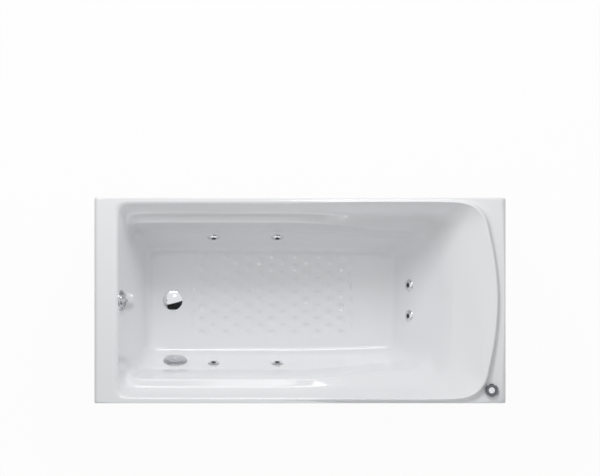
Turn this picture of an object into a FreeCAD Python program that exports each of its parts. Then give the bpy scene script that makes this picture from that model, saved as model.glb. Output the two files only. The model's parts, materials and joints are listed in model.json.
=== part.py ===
import FreeCAD, Part
import math
import os

V = FreeCAD.Vector
X, Y, Z = V(1, 0, 0), V(0, 1, 0), V(0, 0, 1)

# ---- driving dimensions (mm): origin on the floor under the middle of the bath, +X to the head end ----
bath_length = 1500.0
bath_width = 750.0
rim_height = 570.0          # deck above the bathroom floor with the feet screwed in
bath_depth = 402.0          # deck to the inner floor at the head end
floor_fall = 8.0            # fall of the inner floor towards the foot end
shell_wall = 5.0            # acrylic sheet with its glass-fibre backing
skirt_depth = 35.0          # folded-down edge of the deck
deck_corner_radius = 6.0
lip_height = 20.0           # raised lip round the head end
foot_deck = 82.0            # deck width at the foot end
side_deck = 20.0            # deck width along the long sides
head_deck = 19.0            # deck width behind the middle of the lip
half_l, half_w = bath_length / 2, bath_width / 2
lip_start, lip_full = half_l - 750, half_l - 530        # the lip rises between these x
turn_start, turn_full = half_l - 740, half_l - 385      # the armrest draws in between these x

# ---- section of the basin: the same seven corners on every wall, from the deck to the floor ----
# each corner is (distance from the middle, height above the deck, reach of its bend along both sides)
foot_section = [(half_l - foot_deck + 26, 0, 0), (half_l - foot_deck, 0, 18),
                (half_l - 106, -88, 18), (half_l - 121, -141, 18), (half_l - 143, -218, 18),
                (half_l - 194, -bath_depth, 34), (half_l - 235, -bath_depth, 0)]
side_section = [(half_w - 9, 0, 0), (half_w - side_deck, 0, 9),
                (half_w - 53, -72, 14), (half_w - 90, -80, 9), (half_w - 124, -268, 14),
                (half_w - 187, -bath_depth, 22), (half_w - 215, -bath_depth, 0)]
shoulder_section = [(half_w - 7, 0, 0), (half_w - 14, lip_height, 8),
                    (half_w - 57, -92, 30), (half_w - 121, -172, 16), (half_w - 151, -284, 14),
                    (half_w - 195, -bath_depth, 22), (half_w - 223, -bath_depth, 0)]
head_section = [(half_l - head_deck, 0, 0), (half_l - head_deck - 7, lip_height, 8),
                (half_l - 209, -128, 40), (half_l - 272, -214, 18), (half_l - 340, -306, 18),
                (half_l - 411, -bath_depth, 34), (half_l - 450, -bath_depth, 0)]
inner_strips = (3, 2, 3, 1, 3)          # strips in each rounded corner, deck to floor
under_strips = (2, 2, 2, 1, 3)          # the same for the unseen underside
foot_corner_radius = 42.0               # plan radius of the basin at the foot end
head_corner_floor, head_corner_rim = 42.0, 118.0    # plan radii at the head end, floor and rim
head_bow = 34.0                         # how far the lip bows out behind the bather's head
side_columns, corner_columns, end_columns = 8, 4, 2     # control points along half of one ring

# ---- water and air fittings: places on the basin's inner face ----
side_jet_xs, side_jet_y = (435 - half_l, 667 - half_l), half_w - 145
back_jet_x, back_jet_y = half_l - 352, 56
jet_places = [(x, s * side_jet_y) for s in (1, -1) for x in side_jet_xs]
jet_places += [(back_jet_x, back_jet_y), (back_jet_x, -back_jet_y)]
suction_place = (295 - half_l, 155 - half_w)
overflow_place = (97 - half_l, 0)
drain_place = (286 - half_l, 0)
regulator_place = (half_l - 50, 47 - half_w)
running_gap = 0.08                      # radial gap of the turning and sliding fits
push_gap = 0.2                          # radial gap where a fitting passes its hole
seal_thickness = 1.0

jet_hole_radius, jet_ring_radius, nozzle_radius, nozzle_outlet = 15.0, 22.0, 9.0, 4.5
suction_hole_radius, suction_cover_radius = 22.0, 44.0
overflow_hole_radius, overflow_plate_radius, knob_radius = 24.0, 38.0, 30.0
drain_hole_radius, drain_flange_radius, plug_radius = 25.0, 35.0, 36.0
stem_radius = 4.0
outlet_radius = 20.0                    # spigot for the house's waste pipe
regulator_hole_radius, regulator_knob_radius, button_radius = 16.0, 24.5, 7.0

# ---- steel frame under the bath ----
rail_size, rail_wall = 30.0, 2.0
board_thickness = 15.0
board_x = (350 - half_l, half_l - 465)
board_top = rim_height - bath_depth - floor_fall - shell_wall - 3.0
long_rail_y, long_rail_x = half_w - 255, (23 - half_l, half_l - 60)
board_half_width = long_rail_y + rail_size
cross_rail_x, cross_rail_half = (38 - half_l, -60.0, half_l - 130), half_w - 50
foot_y = half_w - 95
foot_rod_radius, foot_pad_radius = 6.0, 24.0
upright_y, upright_size = half_w - 63, 25.0
long_rail_top = board_top - board_thickness
cross_rail_top = long_rail_top - rail_size
frame_nut_height, rod_spare = 9.0, 8.0  # the foot's rod stands this far out of its upper nut
batten_width, batten_thickness, batten_inset = 52.0, 18.0, 8.0

# ---- whirlpool pump and pipework ----
water_pipe_radius, suction_pipe_radius, air_pipe_radius, pipe_wall = 12.5, 16.0, 7.0, 2.0
fitting_wall = 3.0                      # socket wall round a pipe
chamber_depth = 25.0                    # pipe centre lines lie this far behind the basin's face
manifold_offset, air_offset = 48.0, 44.0    # up and down the wall from a side jet's centre
suction_run = 55.0                      # from the wall to the suction pipe's centre line
pump_x, pump_y, motor_radius = half_l - 190, 375 - half_w, 60.0
# places along Y from pump_y
volute_front, volute_back, motor_back, cowl_back = -222.0, -170.0, 40.0, 84.0
pump_inlet_y = volute_front - 30.0
outlet_y = (volute_front + volute_back) / 2
shaft_radius, impeller_radius = 7.0, 48.0
motor_foot_x, motor_foot_ys = 46.0, (-120.0, -20.0)


# ---------------------------------------------------------------- helpers
def smooth(value, start, end):
    t = min(1.0, max(0.0, (value - start) / (end - start)))
    return t * t * (3 - 2 * t)


def blend(a, b, t):
    return a + (b - a) * t


def rod(radius, start, end):
    return Part.makeCylinder(radius, (end - start).Length, start, end - start)


def tube(radius, bore, start, end):
    return rod(radius, start, end).cut(rod(bore, start, end))


def block(x, y, z):
    """Box between the two values given for each axis."""
    return Part.makeBox(x[1] - x[0], y[1] - y[0], z[1] - z[0], V(x[0], y[0], z[0]))


def turned(outline):
    """Solid of revolution about Z from (radius, height) corners."""
    points = [V(r, 0, z) for r, z in outline]
    return Part.Face(Part.makePolygon(points + points[:1])).revolve(V(), Z, 360)


def prism(radius, sides, height, start):
    corners = [V(radius * math.cos(2 * math.pi * k / sides), radius * math.sin(2 * math.pi * k / sides), 0)
               for k in range(sides + 1)]
    solid = Part.Face(Part.makePolygon(corners)).extrude(Z * height)
    solid.translate(start)
    return solid


def fuse(shapes):
    whole = shapes[0].multiFuse(shapes[1:]) if len(shapes) > 1 else shapes[0]
    return whole.removeSplitter()


def ring_of(count, radius, phase=0.0):
    """Points spaced evenly on a circle in the XY plane."""
    angles = [phase + 2 * math.pi * k / count for k in range(count)]
    return [V(radius * math.cos(a), radius * math.sin(a), 0) for a in angles]


def swept(points, radius):
    """Round bar along straight runs with mitred corners."""
    circle = Part.Wire(Part.makeCircle(radius, points[0], points[1] - points[0]))
    return Part.makePolygon(points).makePipeShell([circle], True, False, 1)


# ---------------------------------------------------------------- tub shell
def rows_of(section, strips):
    """Rows down one wall: every corner is rounded by a parabola cut into its number of strips."""
    corners = [V(along, up, 0) for along, up, reach in section]
    rows = [corners[0]]
    for i, count in enumerate(strips, 1):
        start = corners[i] + (corners[i - 1] - corners[i]).normalize() * section[i][2]
        end = corners[i] + (corners[i + 1] - corners[i]).normalize() * section[i][2]
        for k in range(count + 1):
            t = k / count
            rows.append(start * (1 - t) ** 2 + corners[i] * 2 * t * (1 - t) + end * t ** 2)
    return rows + [corners[-1]]


def fall_at(x):
    """How far the floor has dropped below its head end."""
    return floor_fall * (head_section[-1][0] - x) / (head_section[-1][0] + foot_section[-1][0])


def basin_net(strips):
    """Control points of the basin: one ring per row, from the head's middle round by the +Y side."""
    walls = [rows_of(s, strips) for s in (foot_section, side_section, shoulder_section, head_section)]
    return [ring(*rows, is_lip=i <= 1 + strips[0]) for i, rows in enumerate(zip(*walls))]


def ring(foot, side, shoulder, head, is_lip):
    span = (lip_start, lip_full) if is_lip else (turn_start, turn_full)

    def side_at(x):
        point = blend(side, shoulder, smooth(x, *span))
        return point.x, point.y

    step = math.radians(90.0 / (corner_columns - 1))
    growth = 3.0 / (2.0 + math.cos(step))           # keeps a cubic curve on its circle

    def corner(radius, centre_x, sign, y, z_start, z_end):
        points = []
        for k in range(corner_columns):
            r = radius * (growth if 0 < k < corner_columns - 1 else 1.0)
            a = step * k if sign > 0 else math.pi / 2 + step * k
            z = blend(z_start, z_end, smooth(k, 0, corner_columns - 1))
            points.append(V(centre_x + r * math.cos(a), y - radius + r * math.sin(a), z))
        return points

    up = max(0.0, 1 + head.y / bath_depth)
    r_head = blend(head_corner_floor, head_corner_rim, min(1.0, up))
    bow = head_bow * min(1.0, up) ** 2
    x_turn, x_start = head.x - bow - r_head, foot_corner_radius - foot.x
    y_head, z_turn = side_at(x_turn)
    y_foot, z_start = side_at(x_start)
    points = []
    for k in range(end_columns):
        t = (k + 0.5) / end_columns
        points.append(V(head.x - bow * t * t, (y_head - r_head) * t, head.y))
    points += corner(r_head, x_turn, 1, y_head, head.y, z_turn)
    for k in range(1, side_columns + 1):
        x = blend(x_turn, x_start, k / (side_columns + 1))
        points.append(V(x, *side_at(x)))
    points += corner(foot_corner_radius, x_start, -1, y_foot, z_start, foot.y)
    for k in range(end_columns):
        points.append(V(-foot.x, (y_foot - foot_corner_radius) * (1 - (k + 0.5) / end_columns), foot.y))
    for p in points:
        p.z += rim_height - fall_at(p.x) * min(1.0, max(0.0, -p.z / bath_depth)) ** 4
    return points + [V(p.x, -p.y, p.z) for p in reversed(points)]


def offset_net(net, distance):
    """The same net moved out along its normals; the deck and the floor stay flat."""
    rows, columns = len(net), len(net[0])
    moved = []
    for i in range(rows):
        line = []
        for j in range(columns):
            around = net[i][(j + 1) % columns] - net[i][j - 1]
            down = net[min(i + 1, rows - 1)][j] - net[max(i - 1, 0)][j]
            shift = down.cross(around).normalize() * distance if 0 < i < rows - 2 else V(0, 0, -distance)
            if i == 0:
                inward = V(down.x, down.y, 0).normalize()
                shift += inward * 0.3 * max(0.0, down.z)
            line.append(net[i][j] + shift)
        moved.append(line)
    return moved


def row_edge(row):
    curve = Part.BSplineCurve()
    curve.buildFromPolesMultsKnots(row, [1] * (len(row) + 1), list(range(len(row) + 1)), True, 3)
    return curve.toShape()


def strips_of(net):
    """Ruled faces between one row and the next, each closed round the basin."""
    columns = len(net[0])
    faces = []
    for upper, lower in zip(net, net[1:]):
        surface = Part.BSplineSurface()
        surface.buildFromPolesMultsKnots([list(pair) for pair in zip(upper, lower)], [1] * (columns + 1),
                                         [2, 2], list(range(columns + 1)), [0, 1], True, False, 3, 1)
        faces.append(surface.toShape())
    return faces


def rounded_rectangle(inset, z):
    """Outline of the deck, set in from its edge, as a wire at height z."""
    x, y, r = half_l - inset, half_w - inset, deck_corner_radius - inset
    d = r * (1 - math.sqrt(0.5))
    edges = []
    for sx, sy in ((1, 1), (-1, 1), (-1, -1), (1, -1)):
        a, b = V(sx * x, sy * (y - r), z), V(sx * (x - r), sy * y, z)
        middle = V(sx * (x - d), sy * (y - d), z)
        edges.append(Part.Arc(a, middle, b).toShape() if sx * sy > 0 else Part.Arc(b, middle, a).toShape())
    corners = [(e.Vertexes[0].Point, e.Vertexes[-1].Point) for e in edges]
    lines = [Part.makeLine(corners[k][1], corners[(k + 1) % 4][0]) for k in range(4)]
    return Part.Wire(Part.__sortEdges__([e for pair in zip(edges, lines) for e in pair]))


def flat_ring(outer, inner):
    return Part.makeFace([outer, inner], "Part::FaceMakerBullseye")


def make_shell():
    inner = basin_net(inner_strips)
    under = offset_net(basin_net(under_strips), shell_wall)
    deck = rounded_rectangle(0, rim_height)
    deck_under = rounded_rectangle(shell_wall, rim_height - shell_wall)
    skirt_foot = rim_height - skirt_depth
    faces = strips_of(inner) + strips_of(under)
    faces += [Part.Face(Part.Wire(row_edge(net[-1]))) for net in (inner, under)]
    faces.append(flat_ring(deck, Part.Wire(row_edge(inner[0]))))
    faces.append(flat_ring(deck_under, Part.Wire(row_edge(under[0]))))
    faces += deck.extrude(V(0, 0, -skirt_depth)).Faces
    faces += deck_under.extrude(V(0, 0, shell_wall - skirt_depth)).Faces
    faces.append(flat_ring(rounded_rectangle(0, skirt_foot), rounded_rectangle(shell_wall, skirt_foot)))
    shell = Part.makeShell(faces)
    shell.sewShape()
    solid = Part.makeSolid(shell.Shells[0] if shell.ShapeType != "Shell" else shell)
    if solid.Volume < 0:
        solid.reverse()
    return solid


# ---------------------------------------------------------------- places on the basin
basin_faces = strips_of(basin_net(inner_strips))


def frame_from(origin, across, up, out):
    return FreeCAD.Placement(origin, FreeCAD.Rotation(across, up, out, "ZXY"))


def wall_frame(place):
    """Frame on the basin's face at a plan position: x level along the wall, y up it, z into the basin."""
    line = Part.makeLine(V(place[0], place[1], rim_height - bath_depth), V(place[0], place[1], rim_height))
    for face in basin_faces:
        distance, nearest = face.distToShape(line)[:2]
        if distance < 1e-4:
            point = nearest[0][0]
            normal = face.normalAt(*face.Surface.parameter(point))
            normal = normal if normal.z > 0 else -normal
            across = Z.cross(normal).normalize()
            return frame_from(point, across, normal.cross(across), normal)
    raise ValueError("no wall at %s, %s" % place)


def put(solid, frame):
    return solid.transformed(frame.toMatrix())


def at(frame, x, y, z):
    return frame.multVec(V(x, y, z))


jet_frames = [wall_frame(p) for p in jet_places]
chambers = [at(f, 0, 0, -chamber_depth) for f in jet_frames]
side_jets, back_jets = jet_frames[:4], jet_frames[4:]
suction_frame = wall_frame(suction_place)
overflow_frame = wall_frame(overflow_place)
waste_floor = rim_height - bath_depth - fall_at(drain_place[0]) - 1.5      # flat seat sunk into the floor
drain_frame = frame_from(V(drain_place[0], drain_place[1], waste_floor), X, Y, Z)
regulator_frame = frame_from(V(regulator_place[0], regulator_place[1], rim_height), X, Y, Z)


def line_height(offset):
    """Mean height and half spread of a level pipe that runs past the side jets, offset up the wall."""
    points = [at(f, 0, offset, -chamber_depth) for f in side_jets]
    return sum(p.z for p in points) / 4, sum(abs(p.y) for p in points) / 4


def back_line_x(height):
    """Where a cross pipe at this height lies straight behind the back jets."""
    start, up = chambers[4], at(back_jets[0], 0, 1, -chamber_depth) - chambers[4]
    return start.x + up.x * (height - start.z) / up.z


water_z, water_y = line_height(manifold_offset)
air_z, air_y = line_height(-air_offset)
water_cross_x, air_cross_x = back_line_x(water_z), back_line_x(air_z)
suction_corner = at(suction_frame, 0, 0, -suction_run)
pump_z = suction_corner.z
outlet_offset = water_z - pump_z        # the pump's outlet leaves level with the ring main
pump_frame = frame_from(V(pump_x, pump_y, pump_z), X, Z, -Y)
motor_foot_z = long_rail_top + 15.0


def line_point(chamber, is_side, z, y, cross_x):
    """The point of a pipe line that faces a jet's chamber."""
    return V(chamber.x, math.copysign(y, chamber.y), z) if is_side else V(cross_x, chamber.y, z)


water_ports = [line_point(c, i < 4, water_z, water_y, water_cross_x) for i, c in enumerate(chambers)]
air_ports = [line_point(c, i < 4, air_z, air_y, air_cross_x) for i, c in enumerate(chambers)]


# ---------------------------------------------------------------- shell with its holes
def shell_with_holes(shell):
    cutters = [put(rod(jet_hole_radius, V(0, 0, -20), V(0, 0, 20)), f) for f in jet_frames]
    cutters.append(put(rod(suction_hole_radius, V(0, 0, -20), V(0, 0, 20)), suction_frame))
    cutters.append(put(rod(overflow_hole_radius, V(0, 0, -15), V(0, 0, 15)), overflow_frame))
    cutters.append(put(rod(drain_hole_radius, V(0, 0, -20), V(0, 0, 20)), drain_frame))
    cutters.append(put(rod(plug_radius + 1.0, V(), V(0, 0, 10)), drain_frame))
    cutters.append(put(rod(regulator_hole_radius, V(0, 0, -10), V(0, 0, 10)), regulator_frame))
    return shell.cut(cutters)


def wall_seal(outer, bore, start, end, frame, shell):
    """Rubber ring pressed to the shape of the wall it seals."""
    return put(tube(outer, bore, V(0, 0, start), V(0, 0, end)), frame).cut(shell)


def make_seals(shell):
    behind = -shell_wall
    seals = [wall_seal(24, jet_hole_radius + push_gap, behind - 1.2, behind + 0.5, f, shell)
             for f in jet_frames]
    seals.append(wall_seal(34, suction_hole_radius, -0.5, seal_thickness, suction_frame, shell))
    seals.append(wall_seal(34, overflow_hole_radius, behind - 1.2, behind + 0.5, overflow_frame, shell))
    seals.append(wall_seal(drain_flange_radius, drain_hole_radius, -8, -3, drain_frame, shell))
    seals.append(put(tube(21, regulator_hole_radius, V(), V(0, 0, seal_thickness)), regulator_frame))
    return seals


# ---------------------------------------------------------------- jets
def make_jet_body(frame, chamber, water_port, air_port):
    """Housing clamped behind the wall, with a stub to the ring main and a barb to the air main."""
    back, flange = -shell_wall - 1.2, 3.5
    body = put(turned([(0, back), (24, back), (24, back - flange), (17, back - flange), (17, -40),
                       (0, -40)]), frame)
    inside = put(turned([(0, -37), (13, -37), (13, -26), (jet_hole_radius, -26),
                         (jet_hole_radius, back + 1),
                         (0, back + 1)]), frame)
    water, air = (water_port - chamber).normalize(), (air_port - chamber).normalize()
    water_end = water_port - water * (water_pipe_radius + 1)
    air_end = air_port - air * (air_pipe_radius + 0.5)
    body = fuse([body, rod(8, chamber, water_end), rod(4, chamber, air_end)])
    return body.cut([inside, rod(5.5, chamber, water_end), rod(2.5, chamber, air_end)])


def make_jet_ring():
    bore, seat = nozzle_radius + running_gap, 6.5 + running_gap
    barrel = jet_hole_radius - push_gap
    return turned([(bore, 5), (12, 5.5), (jet_ring_radius - 1, 2.5), (jet_ring_radius, 1),
                   (jet_ring_radius, 0.05),
                   (barrel, 0.05), (barrel, -22), (12, -22), (seat, -12), (seat, -4), (bore, -4)])


def make_nozzle():
    """Turning insert whose outlet leans, so that turning it aims the stream."""
    r = nozzle_radius
    plug = turned([(0, 6), (r - 2, 6), (r, 4), (r, -4 + running_gap), (6.5, -4 + running_gap), (6.5, -13),
                   (0, -13)])
    return plug.cut(rod(nozzle_outlet, V(-1.5, 0, -15), V(1.5, 0, 8)))


# ---------------------------------------------------------------- suction
def make_suction_body():
    barrel = suction_hole_radius - push_gap
    body = turned([(13, 4), (34, 4), (34, seal_thickness), (barrel, seal_thickness), (barrel, -22),
                   (suction_pipe_radius, -22), (suction_pipe_radius, -36), (13, -36)])
    arms = [block((-14, 14), (-2.5, 2.5), (-3, 4)), block((-2.5, 2.5), (-14, 14), (-3, 4))]
    hub = rod(5.5, V(0, 0, -3), V(0, 0, 6.5))
    return fuse([body, hub] + arms).cut(rod(2.1, V(0, 0, -3), V(0, 0, 7)))


def make_suction_cover(window_count=12):
    """Domed disc that draws water in through the windows under its rim."""
    r = suction_cover_radius
    cover = turned([(2.2, 8.5), (30, 8), (r - 2, 5), (r, 1.5), (r, 0.3), (r - 2, 0.3), (r - 3.5, 3.5),
                    (30, 6.1),
                    (2.2, 6.5)])
    window = block((r - 6, r + 2), (-7, 7), (0, 2.2))
    return cover.cut([window.rotated(V(), Z, 360 * k / window_count) for k in range(window_count)])


def make_suction_screw():
    return turned([(0, 10.5), (3.5, 10.2), (4.5, 8.5), (2.0, 8.5), (2.0, -3), (0, -3)])


# ---------------------------------------------------------------- waste and overflow
def make_drain_flange():
    r = drain_hole_radius
    ring = turned([(r - 4, 0.6), (drain_flange_radius - 2, 2), (drain_flange_radius, 1),
                   (drain_flange_radius, 0),
                   (r - push_gap, 0), (r - push_gap, -24), (r - 3.5, -24), (r - 3.5, -1)])
    arms = [block((-22, 22), (-1.5, 1.5), (-18, -10)), block((-1.5, 1.5), (-22, 22), (-18, -10))]
    hub = rod(7, V(0, 0, -20), V(0, 0, -8))
    return fuse([ring, hub] + arms).cut(rod(stem_radius + running_gap, V(0, 0, -21), V(0, 0, -7)))


def make_drain_body():
    body = turned([(25, -8), (drain_flange_radius, -8), (drain_flange_radius, -12), (29, -12), (29, -62),
                   (20, -62),
                   (20, -84), (17, -84), (17, -58), (22, -58), (22, -26), (25, -26)])
    inlet = tube(16, 13, V(-64, 0, -36), V(-27, 0, -36))
    body = fuse([body, inlet]).cut(rod(13, V(-40, 0, -36), V(-10, 0, -36)))
    return body.cut(rod(2.7, V(0, 15, -48), V(0, 35, -48)))


def make_drain_plug():
    return turned([(0, 10), (22, 8), (plug_radius - 1, 3.8), (plug_radius, 2.3), (20.5, 2.3), (19, 0.4),
                   (stem_radius, 0), (stem_radius, -44), (0, -44)])


def make_trap():
    """Bottle trap: a dip tube under the waste and a side outlet for the house's pipe."""
    bottle = turned([(0, -134), (29, -134), (33, -130), (33, -90), (24, -88), (24, -72), (0, -72)])
    hollow = turned([(0, -131), (28, -131), (30, -128), (30, -92), (20.1, -90), (20.1, -71), (0, -71)])
    collar = rod(24, V(-38, 0, -104), V(-10, 0, -104))
    outlet = rod(outlet_radius, V(-140, 0, -104), V(-10, 0, -104))
    way_out = rod(outlet_radius - 3, V(-141, 0, -104), V(-10, 0, -104))
    trap = fuse([bottle, collar, outlet]).cut([hollow, way_out])
    dip = tube(20, 17, V(0, 0, -91), V(0, 0, -118))
    hanger = tube(22, 20, V(0, 0, -90), V(0, 0, -94))
    return fuse([trap, hanger, dip])


def make_overflow_body():
    back = -shell_wall - 1.2
    return turned([(overflow_hole_radius, back), (34, back), (34, back - 4), (27, back - 4), (27, -36),
                   (0, -36),
                   (0, -33), (overflow_hole_radius, -33)])


def overflow_body_with_outlet():
    start = at(overflow_frame, 0, 0, -22)
    body = put(make_overflow_body(), overflow_frame)
    body = fuse([body, tube(16, 13, start - Z * 22, start - Z * 44)])
    cable_way = rod(2.7, at(overflow_frame, 20, 0, -22), at(overflow_frame, 35, 0, -22))
    return body.cut([rod(13, start, start - Z * 30), cable_way])


def make_overflow_plate():
    r = overflow_plate_radius
    plate = turned([(5 + running_gap, 6.5), (r - 4, 6.5), (r, 3.5), (r, 0.05), (r - 3, 0.05), (r - 3, 2.5),
                    (r - 5, 3.5), (9, 3.5), (9, -6), (5 + running_gap, -6)])
    slots = [block((14, 26), (-3, 3), (3, 8)).rotated(V(), Z, 60 * k) for k in range(6)]
    return plate.cut(slots)


def make_overflow_knob():
    knob = turned([(0, 13), (knob_radius - 4, 12.5), (knob_radius, 10), (knob_radius, 6.6), (5, 6.6),
                   (5, -16),
                   (0, -16)])
    return fuse([knob, block((-4.5, 4.5), (-25, 25), (12, 20))])


def make_bowden_cable():
    start, end = at(overflow_frame, 24, 0, -22), at(drain_frame, 0, 30, -48)
    route = [start, start + Y * 26, V(start.x, 50, 150), V(start.x + 60, 50, end.z), V(end.x, 50, end.z),
             end]
    arm = rod(2.5, end, at(drain_frame, 0, 0, -48))
    pad = rod(5, at(drain_frame, 0, 0, -50.5), at(drain_frame, 0, 0, -44.1))
    return [swept(route, 2.5), fuse([arm, pad])]


# ---------------------------------------------------------------- air regulator with its push button
def make_regulator_body():
    seat, boss, bore = seal_thickness, 11.0, button_radius + running_gap
    outer = regulator_hole_radius - push_gap
    body = turned([(outer, seat), (21, seat), (21, 3.5), (boss, 3.5), (boss, 16), (bore, 16), (bore, -26),
                   (0, -26),
                   (0, -30), (12, -30), (12, -58), (air_pipe_radius - pipe_wall, -58),
                   (air_pipe_radius - pipe_wall, -76), (3, -76), (3, -62), (outer, -62)])
    air_ways = [rod(1.8, p + Z * 4, p - Z * 31) for p in ring_of(4, 13.0, math.pi / 4)]
    nipple = tube(3, 1.5, V(-15, 0, -23), V(-26, 0, -23))
    return fuse([body.cut(air_ways), nipple]).cut(rod(1.5, V(-20, 0, -23), V(-5, 0, -23)))


def make_regulator_knob(lobes=6):
    r = regulator_knob_radius
    knob = turned([(11 + running_gap, 14.5), (r - 4, 14.5), (r, 10), (r, 4), (11 + running_gap, 4)])
    return knob.cut([rod(5.5, p, p + Z * 20) for p in ring_of(lobes, r + 2.5)])


def make_push_button():
    r = button_radius
    return turned([(0, 20), (r - 1.5, 20), (r, 18.5), (r, -12), (0, -12)])


# ---------------------------------------------------------------- pipework
def elbow(start, corner, end, radius):
    """Mitred elbow with a socket at each end for a pipe of this radius."""
    bore = radius - pipe_wall
    body = swept([start, corner, end], radius + fitting_wall).cut(swept([start, corner, end], bore))
    sockets = [rod(radius, p, p + (corner - p).normalize() * 12) for p in (start, end)]
    return body.cut(sockets)


def tee(centre, run, branch, run_radius, branch_radius, half, reach):
    """Sleeve along a run with a side socket; reach is the socket's end from the run's centre line."""
    sleeve = rod(run_radius + fitting_wall, centre - run * half, centre + run * half)
    side = rod(branch_radius + 2.5, centre, centre + branch * reach)
    return sleeve.fuse(side).cut([rod(run_radius, centre - run * half, centre + run * half),
                                  rod(branch_radius, centre, centre + branch * reach)])


def pipe(radius, start, end):
    return tube(radius, radius - pipe_wall, start, end)


def make_water_line():
    """Ring main: a cross pipe behind the back jets and a branch along each side."""
    r, x = water_pipe_radius, water_cross_x
    corners = [V(x, sign * water_y, water_z) for sign in (1, -1)]
    far = jet_places[0][0]
    pipes = [pipe(r, V(x, water_y - 22, water_z), V(x, 22 - water_y, water_z))]
    pipes += [pipe(r, c - X * 22, V(far - 34, c.y, c.z)) for c in corners]
    fittings = [elbow(c - Y * math.copysign(34, c.y), c, c - X * 34, r) for c in corners]
    fittings += [tee(p, X if i < 4 else Y, (c - p).normalize(), r, 8.0, 20, 26)
                 for i, (p, c) in enumerate(zip(water_ports, chambers))]
    caps = [rod(r + fitting_wall, V(far - 38, c.y, c.z), V(far - 20, c.y, c.z)) for c in corners]
    fittings += [cap.cut(rod(r, cap.CenterOfMass - X * 5, cap.CenterOfMass + X * 12)) for cap in caps]
    outlet = V(x, pump_y + outlet_y, water_z)
    fittings.append(tee(outlet, Y, X, r, r, 24, 30))
    holes = [rod(5.5, p, c) for p, c in zip(water_ports, chambers)]
    holes.append(rod(r - pipe_wall, outlet, outlet + X * 30))
    return [p.cut(holes) for p in pipes], fittings


def make_suction_line():
    r, inlet = suction_pipe_radius, V(pump_x, suction_corner.y, pump_z)
    start = at(suction_frame, 0, 0, -24)
    first = elbow(start, suction_corner, suction_corner + X * 38, r)
    last = elbow(inlet - X * 38, inlet, V(pump_x, pump_y + pump_inlet_y - 1, pump_z), r)
    return [pipe(r, suction_corner + X * 26, inlet - X * 26)], [first, last]


def make_air_line():
    """Air main below the jets, fed from the regulator on the deck by way of the head end."""
    r, x = air_pipe_radius, air_cross_x
    far, feed_x = jet_places[0][0], regulator_place[0]
    corners = [V(x, sign * air_y, air_z) for sign in (1, -1)]
    route = [V(x, air_y, air_z), V(feed_x, air_y, air_z), V(feed_x, regulator_place[1], air_z),
             V(feed_x, regulator_place[1], rim_height - 63)]
    pipes = [pipe(r, V(x, air_y - 12, air_z), V(x, 12 - air_y, air_z))]
    pipes += [pipe(r, c - X * 12, V(far - 22, c.y, c.z)) for c in corners]
    for start, end in zip(route, route[1:]):
        way = (end - start).normalize()
        pipes.append(pipe(r, start + way * 12, end - way * (12 if end is not route[-1] else 0)))
    fittings = [elbow(route[k] + (route[k - 1] - route[k]).normalize() * 22, route[k],
                      route[k] + (route[k + 1] - route[k]).normalize() * 22, r) for k in (1, 2)]
    fittings.append(elbow(corners[1] + Y * 22, corners[1], corners[1] - X * 22, r))
    fittings.append(tee(corners[0], X, -Y, r, r, 22, 22))
    fittings += [tee(p, X if i < 4 else Y, (c - p).normalize(), r, 4.0, 13, 15)
                 for i, (p, c) in enumerate(zip(air_ports, chambers))]
    caps = [rod(r + fitting_wall, V(far - 25, c.y, c.z), V(far - 13.5, c.y, c.z)) for c in corners]
    fittings += [cap.cut(rod(r, cap.CenterOfMass - X * 3, cap.CenterOfMass + X * 8)) for cap in caps]
    holes = [rod(2.5, p, c) for p, c in zip(air_ports, chambers)]
    return [p.cut(holes) for p in pipes], fittings


def make_waste_pipe():
    """Rigid overflow pipe from behind the foot wall to the waste."""
    top = at(overflow_frame, 0, 0, -22) - Z * 30
    end = at(drain_frame, -50, 0, -36)
    corner = V(top.x, 0, end.z)
    way = [corner + Z * 30, corner, corner + X * 30]
    sockets = [rod(19, corner + Z * 18, corner + Z * 40), rod(19, corner + X * 18, corner + X * 40)]
    bend = swept(way, 22).cut([swept(way, 16)] + sockets)
    return [tube(19, 16, top, corner + Z * 18), tube(19, 16, corner + X * 18, end), bend]


# ---------------------------------------------------------------- pump


def spiral_face(inner, outer):
    """Volute outline: the radius grows evenly over one turn, from the tongue at the top."""
    points = []
    for k in range(13):
        a = math.pi / 2 + 2 * math.pi * k / 12
        r = blend(inner, outer, k / 12)
        points.append(V(r * math.cos(a), r * math.sin(a), 0))
    curve = Part.BSplineCurve()
    curve.interpolate(points)
    return Part.Face(Part.Wire([curve.toShape(), Part.makeLine(points[-1], points[0])]))


def slab(face, start, end):
    """Flat face stood between two heights along the pump's axis."""
    solid = face.extrude(V(0, 0, end - start))
    solid.translate(V(0, 0, start))
    return solid


def make_volute():
    low, high, wall = -volute_back, -volute_front, 5.0
    reach = outlet_offset + 15.5
    outer = slab(spiral_face(impeller_radius + 9, reach), low, high)
    middle = (low + high) / 2
    outlet = [rod(radius, V(length, outlet_offset, middle), V(-58, outlet_offset, middle))
              for radius, length in ((15.5, 6), (10.5, 0))]
    nose = rod(suction_pipe_radius + 4, V(0, 0, high - 1), V(0, 0, -pump_inlet_y - 4))
    cavity = slab(spiral_face(impeller_radius + 4, reach - wall), low, high - wall)
    inlet = rod(suction_pipe_radius - pipe_wall, V(0, 0, low), V(0, 0, -pump_inlet_y))
    return fuse([outer, outlet[0], nose]).cut([cavity, outlet[1], inlet])


def make_seal_plate():
    low = -volute_back - 8
    plate = slab(spiral_face(impeller_radius + 9, outlet_offset + 15.5), low, low + 8)
    return plate.cut(rod(12, V(0, 0, low), V(0, 0, low + 8)))


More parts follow.
